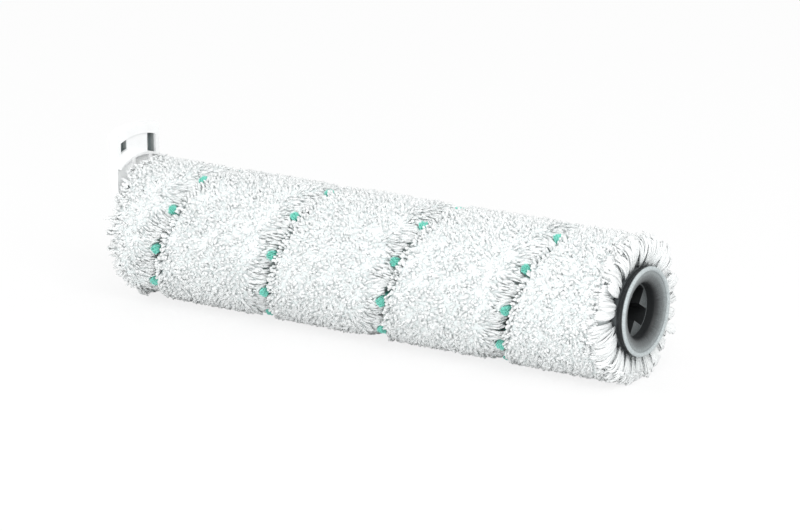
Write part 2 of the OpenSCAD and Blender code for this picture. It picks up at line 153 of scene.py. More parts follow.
class BristleLook(bpy.types.PropertyGroup):
    """Number, size and colours of the bristles in a tuft"""

    count: bpy.props.IntProperty(
        name="Bristles", description="Bristles in one tuft", default=46, min=8, max=90)
    width: bpy.props.FloatProperty(
        name="Bristle width", description="Diameter of one bristle",
        default=0.46 * MM, min=0.1 * MM, max=1 * MM, unit="LENGTH")
    tuft_width: bpy.props.FloatProperty(
        name="Tuft width", description="Diameter of a tuft at its tips",
        default=4.5 * MM, min=2 * MM, max=6 * MM, unit="LENGTH")
    tip_color: bpy.props.FloatVectorProperty(
        name="Tip colour", description="Colour of the bristles' cut ends",
        default=(0.30, 0.90, 0.76, 1), size=4, min=0, max=1, subtype="COLOR")
    # Painted shade: the bristles are painted this darker colour towards their roots, deep in the seam.
    root_shade_color: bpy.props.FloatVectorProperty(
        name="Root colour", description="Colour of the bristles deep in the seam",
        default=(0.10, 0.46, 0.38, 1), size=4, min=0, max=1, subtype="COLOR")


class StageLook(bpy.types.PropertyGroup):
    """Floor, light and camera"""

    key_power: bpy.props.FloatProperty(
        name="Key light", description="Power of the large soft lamp",
        default=4.2, min=0, unit="POWER")
    fill_power: bpy.props.FloatProperty(
        name="Fill light", description="Power of the low soft lamp in front",
        default=4.6, min=0, unit="POWER")
    sky_strength: bpy.props.FloatProperty(
        name="Sky light", description="Strength of the even light from all round",
        default=0.9, min=0)
    camera_place: bpy.props.FloatVectorProperty(
        name="Camera place", description="Where the camera stands",
        default=(0.69925, -1.1967, 0.3905), size=3, subtype="XYZ")
    camera_aim: bpy.props.FloatVectorProperty(
        name="Camera aim", description="The point in the middle of the frame",
        default=(-0.118913, 0, 0.0011286), size=3, subtype="XYZ")
    focal_length: bpy.props.FloatProperty(
        name="Focal length", description="Focal length in millimetres on a 36 mm sensor", default=157.5)


def sizes():
    return bpy.context.scene.roll_sizes


# Places on the roll


def on_roll(x, angle, radius):
    """Points at x along the roll: (x, -radius sin angle, radius cos angle)."""
    x, angle, radius = np.broadcast_arrays(x, angle, radius)
    return np.stack([x, -radius * np.sin(angle), radius * np.cos(angle)], axis=-1)


def seam_x(angle):
    """The seam moves on by its pitch in each turn: x = -start - pitch angle / turn."""
    roll = sizes()
    return -roll.seam_start - roll.seam_pitch * angle / TURN


def smooth(value):
    """0 below 0, 1 above 1 and 3v^2 - 2v^3 between."""
    v = np.clip(value, 0, 1)
    return v * v * (3 - 2 * v)


def wave_field(rng, size, x, angle, count=28):
    """A smooth random field on the roll, about -1 to 1, whose hills are about `size` wide.

    It is the sum of `count` waves cos(m angle + q x + p), where m is whole so that the field
    closes round the roll, over the square root of half their number.
    """
    around = math.pi * sizes().pile_radius / size
    m = np.rint(rng.uniform(-around, around, count))
    q = rng.uniform(-math.pi, math.pi, count) / size
    p = rng.uniform(0, TURN, count)
    return np.cos(angle[:, None] * m + x[:, None] * q + p).sum(axis=1) / math.sqrt(count / 2)


def tuft_places():
    """x and angle of every tuft that finds room between the strip's two ends."""
    roll = sizes()
    margin = 4 * MM
    angle = roll.tuft_first + roll.tuft_step * np.arange(-20, 60)
    x = seam_x(angle)
    held = (x < roll.drive_edge - margin) & (x > roll.cap_edge + margin)
    return x[held], angle[held]


def clear_of_tufts(points, keep):
    """Moves points that stand within `keep` of a tuft's axis straight out to that distance."""
    x, y, z = np.moveaxis(points, -1, 0)
    radius = np.hypot(y, z)
    angle = np.arctan2(-y, z)
    for tuft_x, tuft_angle in zip(*tuft_places()):
        along = x - tuft_x
        around = ((angle - tuft_angle + math.pi) % TURN - math.pi) * radius
        away = np.maximum(np.hypot(along, around), 0.05 * MM)
        push = np.maximum(keep / away, 1)
        x = tuft_x + along * push
        angle = tuft_angle + around * push / radius
    return on_roll(x, angle, radius)


def seam_side(x, angle):
    """Distance from the seam on the drive side of a point, and that seam's unwound angle."""
    roll = sizes()
    away = seam_x(angle) - x
    turns = np.floor(away / roll.seam_pitch)
    return away - turns * roll.seam_pitch, angle + TURN * turns


def pile_zones(x, across, unwound):
    """How far the pile is combed, stands as the seam's brow, or turns over either end, 0 to 1.

    The combed shoulder is wider and deeper between two tufts than beside one. Its fifth value is
    that hollow, half of 1 - cos of the angle from the last tuft over the step between tufts.
    """
    roll, look = sizes(), bpy.context.scene.pile_look
    hollow = 0.5 - 0.5 * np.cos(TURN * (unwound - roll.tuft_first) / roll.tuft_step)
    combed = smooth(1 - (across - roll.seam_gap / 2) / (look.shoulder * (0.75 + 0.4 * hollow)))
    brow = smooth(1 - (roll.seam_pitch - roll.seam_gap / 2 - across) / (3 * MM))
    drive = smooth((x - roll.drive_edge) / (8 * MM) + 1)
    cap = smooth((roll.cap_edge - x) / (6 * MM) + 1)
    return combed, brow, drive, cap, hollow


def pile_top(combed, brow, drive, hollow):
    """Radius of the pile's surface: it sinks to the seam over the combed shoulder and is a
    little higher along the brow."""
    return sizes().pile_radius - (2.4 + 1.3 * hollow) * MM * combed ** 1.5 \
        - 1.2 * MM * drive + 0.2 * MM * brow


# Strands


def strand_mesh(name, spine, half_width, side, flat, depth, sides=5):
    """Tubes carried along spines, all in one mesh.

    spine is (strands, points, 3) from root to tip, half_width (strands, points - 1), and side
    a direction for each strand. With T along the spine, S = T x side and B = T x S, a ring is
    centre + half_width (S cos t + flat B sin t). The last point closes the tube, and a face
    closes its root. depth (strands, points) is 1 at the root and 0 at the tip. The attribute
    lay is (cos t, sin t, length along the strand), in which fibres run straight up the strand.
    """
    strands, points, _ = spine.shape
    rings = points - 1
    along = np.gradient(spine, axis=1)[:, :rings]
    along /= np.linalg.norm(along, axis=2, keepdims=True)
    across = np.cross(along, side[:, None, :])
    across /= np.linalg.norm(across, axis=2, keepdims=True)
    over = np.cross(along, across) * flat
    t = np.arange(sides) * TURN / sides
    ring = (across[:, :, None] * np.cos(t)[:, None] + over[:, :, None] * np.sin(t)[:, None])
    tube = spine[:, :rings, None] + ring * half_width[:, :, None, None]
    each = rings * sides + 1
    verts = np.concatenate([tube.reshape(strands, -1, 3), spine[:, -1:]], axis=1)

    k, j = np.meshgrid(np.arange(rings - 1), np.arange(sides), indexing="ij")
    k, j, nxt = k.ravel(), j.ravel(), (j.ravel() + 1) % sides
    walls = np.stack([k * sides + j, k * sides + nxt, (k + 1) * sides + nxt, (k + 1) * sides + j], 1)
    last, j = (rings - 1) * sides, np.arange(sides)
    tip = np.stack([last + j, last + (j + 1) % sides, np.full(sides, each - 1)], 1)
    root = np.arange(sides)[::-1]
    corners = np.concatenate([walls.ravel(), tip.ravel(), root])
    counts = np.concatenate([np.full(len(walls), 4), np.full(sides, 3), [sides]])
    corners = (corners + np.arange(strands)[:, None] * each).ravel()
    # depth goes out as an attribute, by which the fibre material paints shade towards the roots.
    ring_depth = np.repeat(depth[:, :rings], sides, axis=1)
    depths = np.concatenate([ring_depth, depth[:, -1:]], axis=1)
    tone = np.random.default_rng(SEED).uniform(0, 1, strands)
    step = np.linalg.norm(np.diff(spine, axis=1), axis=2) / MM
    length = np.concatenate([np.zeros((strands, 1)), np.cumsum(step, axis=1)], axis=1)
    length = length + tone[:, None] * 400
    lay = np.zeros((strands, each, 3))
    lay[:, :-1, :2] = np.tile(np.stack([np.cos(t), np.sin(t)], 1), (rings, 1))
    lay[:, :-1, 2] = np.repeat(length[:, :rings], sides, axis=1)
    lay[:, -1, 2] = length[:, -1]
    return new_mesh(name, verts.reshape(-1, 3), corners, np.tile(counts, strands),
                    depth=depths.ravel(), tone=np.repeat(tone, each), lay=lay.reshape(-1, 3))


def new_mesh(name, points, corners, counts, **attributes):
    """A smooth-shaded mesh object from flat arrays of points, face corners and corner counts."""
    mesh = bpy.data.meshes.new(name)
    mesh.vertices.add(len(points))
    mesh.vertices.foreach_set("co", points.astype(np.float32).ravel())
    mesh.loops.add(len(corners))
    mesh.loops.foreach_set("vertex_index", corners.astype(np.int32))
    mesh.polygons.add(len(counts))
    starts = np.concatenate([[0], np.cumsum(counts)[:-1]]).astype(np.int32)
    mesh.polygons.foreach_set("loop_start", starts)
    mesh.polygons.foreach_set("use_smooth", np.ones(len(counts), bool))
    for label, values in attributes.items():
        kind, field = ("FLOAT", "value") if values.ndim == 1 else ("FLOAT_VECTOR", "vector")
        layer = mesh.attributes.new(label, kind, "POINT")
        layer.data.foreach_set(field, values.astype(np.float32).ravel())
    mesh.update(calc_edges=True)
    mesh.validate()
    piece = bpy.data.objects.new(name, mesh)
    bpy.context.scene.collection.objects.link(piece)
    return piece


def grid_mesh(name, points, wrap):
    """A mesh of quads over a (rows, columns, 3) grid of points, its columns joined if wrap."""
    rows, columns, _ = points.shape
    i, j = np.meshgrid(np.arange(rows - 1), np.arange(columns if wrap else columns - 1),
                       indexing="ij")
    i, j, nxt = i.ravel(), j.ravel(), (j.ravel() + 1) % columns
    quads = np.stack([i * columns + j, i * columns + nxt, (i + 1) * columns + nxt,
                      (i + 1) * columns + j], 1)
    return new_mesh(name, points.reshape(-1, 3), quads.ravel(), np.full(len(quads), 4))


def on_the_flat(points):
    """Points lower than the flat on which the roll lies are pressed up to it."""
    points[..., 2] = np.maximum(points[..., 2], sizes().rest_height)
    return points


# Shader maths


class Socket:
    """An output in a material's node tree. Python's operators on it add Math nodes."""

    def __init__(self, tree, output=None):
        self.tree = tree
        self.output = output

    def node(self, kind, settings=None, inputs=None, output=0):
        """Adds a node of any kind: its settings first, then the values or links of its sockets."""
        made = self.tree.nodes.new(kind)
        for name, value in (settings or {}).items():
            if name == "stops":
                set_stops(made.color_ramp, value)
            else:
                setattr(made, name, value)
        for name, value in (inputs or {}).items():
            if isinstance(value, Socket):
                self.tree.links.new(value.output, made.inputs[name])
            else:
                made.inputs[name].default_value = value
        return Socket(self.tree, made.outputs[output])

    def math(self, operation, first, second=0.0):
        return self.node("ShaderNodeMath", {"operation": operation}, {0: first, 1: second})

    def __add__(self, other):
        return self.math("ADD", self, other)

    __radd__ = __add__

    def __sub__(self, other):
        return self.math("SUBTRACT", self, other)

    def __rsub__(self, other):
        return self.math("SUBTRACT", other, self)

    def __mul__(self, other):
        return self.math("MULTIPLY", self, other)

    __rmul__ = __mul__

    def __truediv__(self, other):
        return self.math("DIVIDE", self, other)

    def __pow__(self, other):
        return self.math("POWER", self, other)

    def noise(self, vector, scale, detail=3.0, roughness=0.5):
        return self.node("ShaderNodeTexNoise", None,
                         {"Vector": vector, "Scale": scale, "Detail": detail,
                          "Roughness": roughness})

    def between(self, low, high):
        """0 where this is at low, 1 where it is at high, and smooth between."""
        return self.node("ShaderNodeMapRange", {"interpolation_type": "SMOOTHSTEP"},
                         {"Value": self, "From Min": low, "From Max": high})

    def mix(self, first, second):
        """From colour first, where this is 0, to colour second, where it is 1."""
        return self.node("ShaderNodeMix", {"data_type": "RGBA"}, {0: self, 6: first, 7: second}, 2)

    def bump(self, height, strength=1.0):
        """The normal of a surface that this raises by up to height, in metres."""
        return self.node("ShaderNodeBump", None,
                         {"Height": self, "Distance": height, "Strength": strength})


def set_stops(ramp, stops):
    """Gives a colour ramp its (position, colour) stops."""
    while len(ramp.elements) < len(stops):
        ramp.elements.new(0.5)
    for element, (position, color) in zip(ramp.elements, stops):
        element.position = position
        element.color = color


def start_material(name, **constants):
    """A material whose shader's own sockets hold the constants; returns it and its tree's start."""
    material = bpy.data.materials.new(name)
    material.use_nodes = True
    shader = material.node_tree.nodes["Principled BSDF"]
    for label, value in constants.items():
        shader.inputs[label.replace("_", " ").title().replace("Ior", "IOR")].default_value = value
    return material, Socket(material.node_tree)


def feed(material, **varying):
    """Links what changes over the surface to the shader's sockets."""
    shader = material.node_tree.nodes["Principled BSDF"]
    for label, socket in varying.items():
        material.node_tree.links.new(socket.output, shader.inputs[label.replace("_", " ").title()])
    return material


def shade(color, factor):
    """A colour made lighter or darker by a factor."""
    return (*(min(1, c * factor) for c in color[:3]), 1)


def fibre_material(name, tip_color, root_shade_color, **constants):
    """Fibres with painted shade, darker from their tips to their roots, each strand a little different."""
    material, start = start_material(name, **constants)
    depth = start.node("ShaderNodeAttribute", {"attribute_name": "depth"}, None, "Fac")
    tone = start.node("ShaderNodeAttribute", {"attribute_name": "tone"}, None, "Fac")
    lay = start.node("ShaderNodeAttribute", {"attribute_name": "lay"}, None, "Vector")
    drawn = start.node("ShaderNodeVectorMath", {"operation": "MULTIPLY"},
                       {0: lay, 1: (1.0, 1.0, 0.22)})
    fibres = start.noise(drawn, 2.4, 3, 0.6)
    place = start.node("ShaderNodeTexCoord", None, None, "Object")
    locks = start.noise(place, 900, 4, 0.7)
    # Painted shade: depth mixes the colour towards the root's shade colour.
    shadow = depth.between(0.0, 1.0)
    color = (tone * 0.35 + fibres * 0.3 + locks * 0.35).between(0.25, 0.75).mix(
        shade(tip_color, 0.93), shade(tip_color, 1.04))
    return feed(material, base_color=shadow.mix(color, root_shade_color),
                roughness=fibres * 0.2 + 0.65,
                normal=(fibres * 0.4 + locks * 0.6).bump(0.9 * MM, 0.9))


def moulded_material(name, color, roughness, grain=0.35 * MM, relief=0.02 * MM):
    """Moulded plastic with a fine even grain, slight clouding and rub marks in its gloss."""
    material, start = start_material(name, ior=1.5)
    place = start.node("ShaderNodeTexCoord", None, None, "Object")
    cloud = start.noise(place, 60, 4, 0.6)
    grains = start.noise(place, 1 / grain, 2, 0.5)
    return feed(material,
                base_color=(cloud * 0.6 + grains * 0.4).mix(shade(color, 0.88), shade(color, 1.1)),
                roughness=cloud * 0.16 + (roughness - 0.08),
                normal=grains.bump(relief, 0.8))


def cap_material(name, color, pocket_shade_color, roughness):
    """The cap's white plastic, with painted shade grey down in the two pockets of its tab."""
    material = moulded_material(name, color, roughness)
    tree = material.node_tree
    start = Socket(tree)
    place = start.node("ShaderNodeTexCoord", None, None, "Object")
    split = start.node("ShaderNodeSeparateXYZ", None, {"Vector": place}).output.node.outputs
    x, y, z = (Socket(tree, split[i]) for i in range(3))
    aside = start.math("ABSOLUTE", y)
    near, far, rim, blur = 7.2 * MM, 12.4 * MM, 40.3 * MM, 0.3 * MM
    under = 1 - ((y * y + z * z) ** 0.5).between(rim, rim + 0.4 * MM)
    within = aside.between(near, near + blur) * (1 - aside.between(far, far + blur))
    front, back = cap_face - 0.9 * MM, cap_face - 3.4 * MM
    deep = (1 - x.between(front - 0.5 * MM, front)) * x.between(back, back + 0.2 * MM)
    # Painted shade: the pockets' walls and floors, within the tab, under its band and above their floor,
    # take the pocket's shade colour.
    pocket_shade_mask = within * under * deep
    shader = tree.nodes["Principled BSDF"]
    plain = Socket(tree, shader.inputs["Base Color"].links[0].from_socket)
    return feed(material, base_color=pocket_shade_mask.mix(plain, pocket_shade_color))


def steel_material(name, color, roughness):
    """Turned steel: fine rings round the roll's axis in the gloss and the surface."""
    material, start = start_material(name, metallic=1.0)
    place = start.node("ShaderNodeTexCoord", None, None, "Object")
    x, radius = axis_and_radius(start, place)
    profile = start.node("ShaderNodeCombineXYZ", None, {"X": x, "Y": radius})
    rings = start.noise(profile, 5200, 2, 0.6)
    cloud = start.noise(place, 240, 3, 0.6)
    return feed(material, base_color=cloud.mix(shade(color, 0.9), shade(color, 1.06)),
                roughness=rings * 0.2 + (roughness - 0.1),
                normal=rings.bump(0.01 * MM, 0.6))


def axis_and_radius(start, place):
    """x along the roll and the distance from its axis at each point."""
    split = start.node("ShaderNodeSeparateXYZ", None, {"Vector": place})
    parts = split.output.node.outputs
    x, y, z = (Socket(start.tree, parts[i]) for i in range(3))
    return x, (y * y + z * z) ** 0.5


def rubber_material(name, color):
    """Matt black rubber with a soft bloom."""
    material, start = start_material(name, ior=1.52)
    place = start.node("ShaderNodeTexCoord", None, None, "Object")
    bloom = start.noise(place, 420, 5, 0.65)
    return feed(material, base_color=bloom.mix(shade(color, 0.8), shade(color, 1.5)),
                roughness=bloom * 0.25 + 0.5, normal=bloom.bump(0.015 * MM, 0.5))


def socket_material(name, color, painted_shade_color):
    """Moulded plastic, with painted light on the lip and mouth, painted shade elsewhere, and the mouth's
    fine radial marks.
    """
    material, start = start_material(name, ior=1.5, specular_ior_level=0.35)
    place = start.node("ShaderNodeTexCoord", None, None, "Object")
    x, radius = axis_and_radius(start, place)
    away = start.node("ShaderNodeCombineXYZ", None, {"X": radius, "Y": radius, "Z": radius})
    direction = start.node("ShaderNodeVectorMath", {"operation": "DIVIDE"}, {0: place, 1: away})
    turned = start.node("ShaderNodeVectorMath", {"operation": "MULTIPLY"},
                        {0: direction, 1: (0.0, 1.0, 1.0)})
    streaks = start.noise(turned, 26, 5, 0.8)
    grains = start.noise(place, 2200, 3, 0.6)
    speck = streaks * 0.5 + grains * 0.5
    # Painted light: the mouth and the lip, which face the light, are painted pale.
    mouth = (x - (streaks - 0.5) * 3 * MM).between(0.9 * MM, 4.1 * MM)
    inside = 1 - radius.between(18.4 * MM, 18.7 * MM)
    lip = x.between(2.7 * MM, 3.3 * MM)
    lit_lip_and_mouth = start.math("MAXIMUM", mouth * inside, lip)
    # Painted light: the lugs' end faces, facing along +X towards the light, are painted pale.
    ends = start.node("ShaderNodeSeparateXYZ", None, {
        "Vector": start.node("ShaderNodeTexCoord", None, None, "Normal")}).between(0.75, 0.95)
    lit_dog_faces = ends * (1 - x.between(-4 * MM, -2 * MM)) * x.between(-12 * MM, -3 * MM)
    # The lip's brightest colour is a painted highlight.
    dull = lip.mix(shade(color, 0.4), shade(color, 1.1))
    bright = lip.mix(shade(color, 0.95), shade(color, 1.9))
    pale = speck.between(0.3, 0.7).mix(dull, bright)
    # Painted shade: everywhere else, the collar's side, the bore and its recess, takes the near-black
    # shade colour.
    deep = grains.mix(shade(painted_shade_color, 0.7), shade(painted_shade_color, 1.4))
    return feed(material, base_color=start.math("MAXIMUM", lit_lip_and_mouth, lit_dog_faces).mix(deep, pale),
                roughness=streaks * 0.2 + 0.36, normal=speck.bump(0.12 * MM, 0.9))


def dress(material, *nodes):
    """Gives the material to CAD nodes, in their objects' slots."""
    for name in nodes:
        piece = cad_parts[name]
        if not piece.material_slots:
            piece.data.materials.append(material)
        for held in piece.material_slots:
            held.material = material


def wear(piece, material, body):
    """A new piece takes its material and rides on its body."""
    piece.data.materials.append(material)
    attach(piece, body)
    return piece


def pile_material():
    """The pile's one material, made when it is first asked for."""
    look = bpy.context.scene.pile_look
    return bpy.data.materials.get("pile fibre") or fibre_material(
        "pile fibre", tuple(look.tip_color), tuple(look.root_shade_color),
        sheen_weight=0.25, sheen_roughness=0.5)


# Operators


class ROLL_OT_lay_backing(bpy.types.Operator):
    """Lay the strip's felted ground round the core, under the pile"""

    bl_idname = "roll.lay_backing"
    bl_label = "Lay the backing"

    def execute(self, context):
        roll = sizes()
        rows_per_turn = 120
        ends = [(-roll.seam_start - x) * TURN / roll.seam_pitch
                for x in (roll.drive_edge + roll.seam_pitch, roll.cap_edge)]
        angle = np.linspace(ends[0], ends[1], int((ends[1] - ends[0]) / TURN * rows_per_turn))[:, None]
        edge = roll.seam_gap / 2 + 0.3 * MM
        high = np.minimum(roll.drive_edge, seam_x(angle) - edge)
        low = np.maximum(roll.cap_edge, seam_x(angle) - roll.seam_pitch + edge)
        high = np.maximum(high, low + 0.1 * MM)
        across = np.linspace(0, 1, 30)[None, :]
        inner = roll.core_radius + 0.15 * MM
        x = high + (low - high) * across
        combed, brow, drive, cap, hollow = pile_zones(x, seam_x(angle) - x, angle)
        ground = pile_top(combed, brow, drive, hollow) \
            - context.scene.pile_look.cover * (1 - 0.6 * combed)
        rise = smooth(np.minimum(across, 1 - across) * 24)
        outer = on_roll(x, angle, inner + (ground - inner) * rise)
        under = on_roll(x[:, ::-1], angle, np.full_like(rise, inner))
        backing = grid_mesh("pile_backing", np.concatenate([outer, under], axis=1), wrap=True)
        wear(backing, felt_material(), "roll")
        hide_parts("pile_strip")
        return {"FINISHED"}


def felt_material():
    """Pale felt seen deep between the clumps, its light grey a painted shade, darker than the fibres'
    tips.
    """
    material, start = start_material("strip backing", roughness=0.95)
    place = start.node("ShaderNodeTexCoord", None, None, "Object")
    weave = start.noise(place, 900, 4, 0.7)
    # Painted shade: the felt's greys stand for the shade deep in the pile; the weave's noise varies them.
    return feed(material, base_color=weave.mix((0.76, 0.81, 0.81, 1), (0.86, 0.9, 0.9, 1)),
                normal=weave.bump(0.2 * MM, 0.8))


class ROLL_OT_grow_pile(bpy.types.Operator):
    """Grow the pile's clumps over the strip, one piece for each turn"""

    bl_idname = "roll.grow_pile"
    bl_label = "Grow the pile"

    def execute(self, context):
        roll, look = sizes(), context.scene.pile_look
        rng = np.random.default_rng(SEED)
        x, angle = scattered_roots(rng, look.clump_step)
        across, unwound = seam_side(x, angle)
        held = (across > roll.seam_gap / 2) & (across < roll.seam_pitch - roll.seam_gap / 2)
        x, angle, across, unwound = x[held], angle[held], across[held], unwound[held]
        turn = np.rint((unwound - angle) / TURN).astype(int)
        spine, width = clump_spines(rng, x, angle, across, unwound)
        side = rng.normal(size=(len(x), 3))
        depth = np.broadcast_to(CLUMP_DEPTH, spine.shape[:2])
        spine = on_the_flat(clear_of_tufts(spine, tuft_room))
        for number, which in enumerate(np.unique(turn)):
            mine = turn == which
            piece = strand_mesh(f"pile_turn_{number + 1}", spine[mine], width[mine], side[mine],
                                0.8, depth[mine], sides=4)
            wear(piece, pile_material(), "roll")
        return {"FINISHED"}


CLUMP_PATH = np.array([0.0, 0.5, 0.82, 0.955, 1.0])
COMBED_PATH = np.array([0.0, 0.3, 0.65, 0.92, 1.0])
CLUMP_WIDTH = np.array([0.8, 1.0, 0.98, 0.66])
CLUMP_DEPTH = np.array([1.0, 0.6, 0.2, 0.04, 0.0])


def scattered_roots(rng, step):
    """x and angle of roots on a staggered grid round the whole roll, each moved a little."""
    roll = sizes()
    rows = int(TURN * roll.pile_radius / step)
    columns = int((roll.drive_edge - roll.cap_edge) / step)
    i, j = np.meshgrid(np.arange(rows), np.arange(columns), indexing="ij")
    i, j = i.ravel(), j.ravel()
    jitter = rng.uniform(-0.36, 0.36, (2, len(i)))
    angle = (i + 0.5 + jitter[0]) * TURN / rows
    x = roll.cap_edge + (j + 0.25 + 0.5 * (i % 2) + jitter[1]) * step
    return np.clip(x, roll.cap_edge, roll.drive_edge), angle


def clump_spines(rng, x, angle, across, unwound):
    """Spines and half widths of the pile's clumps.

    A spine rises from the ground to the surface, and its tip leans over by lean t^2 plus a hook
    of t^5. Beside the seam the whole shoulder is combed over the gap: its spines rise by
    1 - (1 - t)^3, then lie along the surface that sinks to the seam.
    """
    roll, look = sizes(), bpy.context.scene.pile_look
    count = len(x)
    combed, brow, drive, cap, hollow = pile_zones(x, across, unwound)
    free = look.clump_lean * (1 - 0.8 * np.maximum(combed, np.maximum(drive, brow)))
    own = rng.normal(0, 1, (4, count))
    whorl = [wave_field(rng, 5 * MM, x, angle) for _ in range(2)]
    comb = np.minimum(8 * MM * combed ** 0.8, across + rng.uniform(-0.6, 1.0, count) * MM)
    lean_x = free * (whorl[0] * 0.3 + own[0] * 0.8) + comb - 0.3 * MM * brow \
        + 3 * MM * drive - 3 * MM * cap
    lean_a = free * (whorl[1] * 0.3 + own[1] * 0.8) \
        + 1.3 * MM * combed * wave_field(rng, 12 * MM, x, angle)
    t = CLUMP_PATH + combed[:, None] * (COMBED_PATH - CLUMP_PATH)
    bend = t ** (2 - 0.9 * combed[:, None])
    hook = 0.6 * free[:, None] * t ** 5
    reach = across[:, None] - (comb * combed)[:, None] * bend
    zones = pile_zones(x[:, None], reach, unwound[:, None])
    top = pile_top(zones[0], brow[:, None], drive[:, None], hollow[:, None]) \
        - 0.7 * np.maximum(roll.seam_gap / 2 - reach, 0)
    low = look.unevenness * rng.uniform(0, 1, count) * (1 - 0.75 * combed)
    rise = t + combed[:, None] * (1 - (1 - t) ** 3 - t)
    radius = top - low[:, None] - (2 - 1.1 * combed[:, None]) * look.cover * (1 - rise)
    spine = on_roll(x[:, None] + lean_x[:, None] * bend + own[2][:, None] * hook,
                    angle[:, None] + (lean_a[:, None] * bend + own[3][:, None] * hook) / radius,
                    radius)
    thick = look.clump_width / 2 * rng.uniform(0.65, 1.25, count) * (1 - 0.3 * combed)
    return spine, thick[:, None] * CLUMP_WIDTH[None, :]


class ROLL_OT_fan_ends(bpy.types.Operator):
    """Fan petals of long fibres out over the strip's two ends"""

    bl_idname = "roll.fan_ends"
    bl_label = "Fan out the ends"

    def execute(self, context):
        roll = sizes()
        rng = np.random.default_rng(SEED + 1)
        for name, edge, out in (("drive_ground", roll.drive_edge, 1),
                                ("cap_ground", roll.cap_edge, -1)):
            ground = end_ground(name, edge, out)
            wear(ground, bpy.data.materials["strip backing"], "roll")
        layers = [("drive_petals", roll.drive_edge + 3.6 * MM, 1, 30, 5),
                  ("cap_petals", roll.cap_edge - 1 * MM, -1, 30, 3)]
        for name, edge, out, petals, deep in layers:
            spine, width, side, depth = petal_spines(rng, edge, out, petals, deep)
            piece = strand_mesh(name, on_the_flat(spine), width, side, 0.6, depth, sides=6)
            wear(piece, pile_material(), "roll")
        return {"FINISHED"}


def end_ground(name, edge, out):
    """The felted ground turned over one end of the roll: a closed profile of (distance outwards,
    height) points, revolved round the axis."""
    roll = sizes()
    low, high = roll.core_radius + 0.3 * MM, roll.pile_radius - 3.2 * MM
    profile = np.array([[-5, 1.0], [-2.5, 1.0], [-0.6, 0.95], [0.9, 0.8], [1.5, 0.55], [1.3, 0.3],
                        [0.9, 0.12], [0.6, 0.0], [-1.5, 0.0], [-5, 0.0]])
    along = edge + out * profile[:, 0] * MM
    radius = low + (high - low) * profile[:, 1]
    angle = np.linspace(0, TURN, 160, endpoint=False)[::-out, None]
    ripple = 0.35 * MM * np.sin(angle * 31) * smooth(profile[:, 0] + 0.6)
    points = on_roll(along + out * ripple, angle, radius)
    return grid_mesh(name, np.concatenate([points, points[:1]]), wrap=True)


def petal_spines(rng, edge, out, petals, deep):
    """Spines of the petals round one end, in `deep` rows, each a broad tongue of fibres.

    A petal rises from the core beside the collar by sin(90 t), swells, and ends round. Its spine
    bulges outwards by lean sin(135 t) and falls back over the shoulder by back t^2. Each petal is
    parted into five strands side by side.
    """
    roll = sizes()
    parts = 5
    count = petals * deep
    row = np.repeat(np.arange(deep), petals)
    middle = (np.tile(np.arange(petals), deep) + 0.5 * (row % 2) + rng.uniform(-0.35, 0.35, count)) \
        * TURN / petals
    t = np.array([0, 0.14, 0.34, 0.56, 0.76, 0.9, 0.975, 1.0])
    foot = edge - out * (0.6 + 1.4 * row) * MM
    lean = out * (2.6 - 0.25 * row + rng.uniform(-0.8, 0.8, count)) * MM
    back = out * rng.uniform(1, 5.5, count) * MM
    top = roll.pile_radius - (0.2 * row + 1.4 * rng.uniform(0, 1, count) ** 2) * MM
    drift = rng.normal(0, 1.3, count) * MM
    wide = rng.uniform(1.5, 2.9, count) * MM
    offset = np.tile(np.linspace(-1, 1, parts), count)
    each = np.repeat(np.arange(count), parts)
    own = rng.normal(0, 1, (3, len(each)))
    swell = (0.35 + 0.65 * np.sin(np.clip(t * 0.8, 0, 0.5) * math.pi))[None, :]
    base = roll.core_radius + 0.6 * MM
    tip = top[each] + own[0] * 0.5 * MM - 1.3 * MM * offset ** 2
    radius = base + (tip[:, None] - base) * np.sin(t * math.pi / 2)[None, :]
    bow = np.sin(t * 0.75 * math.pi)[None, :]
    x = foot[each][:, None] + (lean[each] + own[1] * 0.3 * MM)[:, None] * bow \
        - back[each][:, None] * t[None, :] ** 2 \
        + out * 0.3 * MM * (1 - np.abs(offset))[:, None] * swell
    shift = drift[each][:, None] * t[None, :] ** 2 \
        + (offset * wide[each] * 0.8)[:, None] * swell + (own[2] * 0.25 * MM)[:, None] * t[None, :]
    spine = on_roll(x, middle[each][:, None] + shift / radius, radius)
    profile = np.array([0.42, 0.62, 0.86, 1.0, 0.98, 0.78, 0.42])[None, :]
    width = wide[each][:, None] * 0.32 * rng.uniform(0.8, 1.2, len(each))[:, None] * profile
    side = np.tile([float(out), 0.0, 0.0], (len(each), 1))
    # depth carries the painted shade towards the petals' roots.
    depth = np.broadcast_to((1 - t)[None, :] ** 3 * 0.8, spine.shape[:2])
    return spine, width, side, depth


